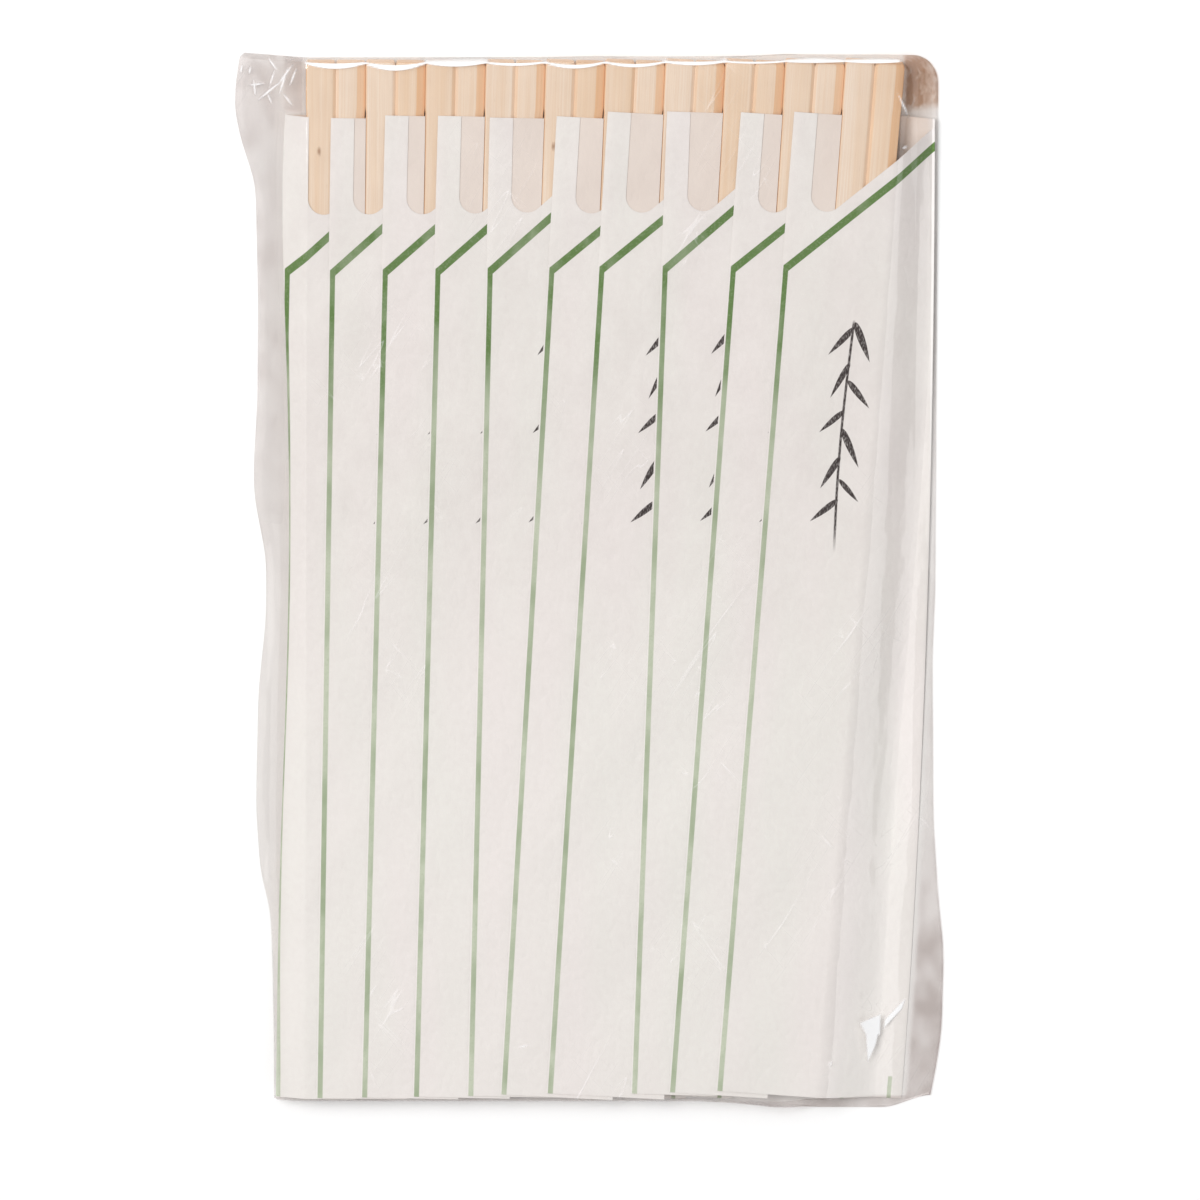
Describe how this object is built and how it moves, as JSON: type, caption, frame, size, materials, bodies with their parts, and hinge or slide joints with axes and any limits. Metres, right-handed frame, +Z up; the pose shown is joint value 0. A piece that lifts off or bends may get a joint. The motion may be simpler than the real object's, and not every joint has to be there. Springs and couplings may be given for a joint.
{
  "type": "pack of disposable chopsticks",
  "caption": "Clear film pack of unsplit disposable wooden chopstick pairs in notched white paper sleeves, shingled side by side in a fanned row.",
  "frame": {"origin": "centre of the pack's bounding box, on its flat underside", "axes": "+Z up from the surface the pack lies on, +Y along the chopsticks towards their heads, +X across the row from the first pair to the last"},
  "size_m": [0.1358, 0.2088, 0.0067],
  "materials": {
    "film": "gloss",
    "paper": "matte",
    "wood": "matte"
  },
  "bodies": {
    "root": {"bag": "film", "sleeve_01": "paper", "sleeve_02": "paper", "sleeve_03": "paper", "sleeve_04": "paper", "sleeve_05": "paper", "sleeve_06": "paper", "sleeve_07": "paper", "sleeve_08": "paper", "sleeve_09": "paper", "sleeve_10": "paper", "chopsticks_01": "wood", "chopsticks_02": "wood", "chopsticks_03": "wood", "chopsticks_04": "wood", "chopsticks_05": "wood", "chopsticks_06": "wood", "chopsticks_07": "wood", "chopsticks_08": "wood", "chopsticks_09": "wood", "chopsticks_10": "wood"}
  },
  "joints": []
}
